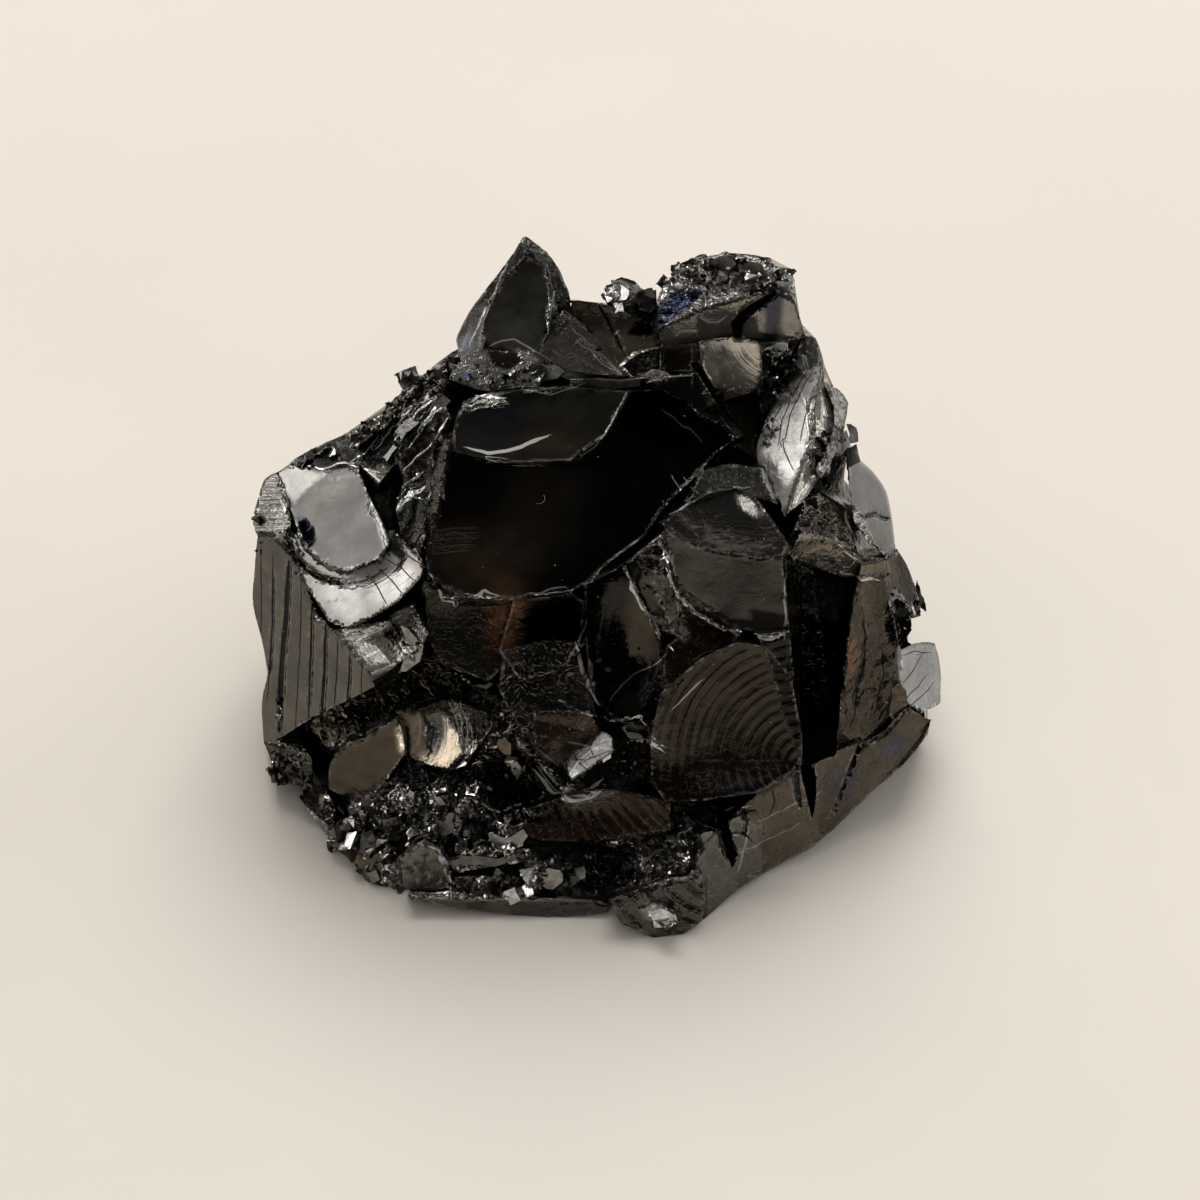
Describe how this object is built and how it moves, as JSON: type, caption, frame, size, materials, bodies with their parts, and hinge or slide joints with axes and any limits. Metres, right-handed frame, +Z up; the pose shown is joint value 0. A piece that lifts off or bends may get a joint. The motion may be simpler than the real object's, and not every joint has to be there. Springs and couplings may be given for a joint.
{
  "type": "shungite stone",
  "caption": "Free-standing lump of black glassy shungite, broken all round into shell-shaped fractures, ledges and gullies, on a flat break.",
  "frame": {"origin": "on the ground, under the middle of the stone's bounding box", "axes": "+Z up; -Y towards the fractured front, with the high peak and the square block at the back; +X to the right seen from the front"},
  "size_m": [0.0692, 0.06, 0.049],
  "materials": {
    "shungite": "glassy, near-black with a metallic sheen, brown and grey reflections"
  },
  "bodies": {
    "root": {"stone": "shungite"}
  },
  "joints": []
}
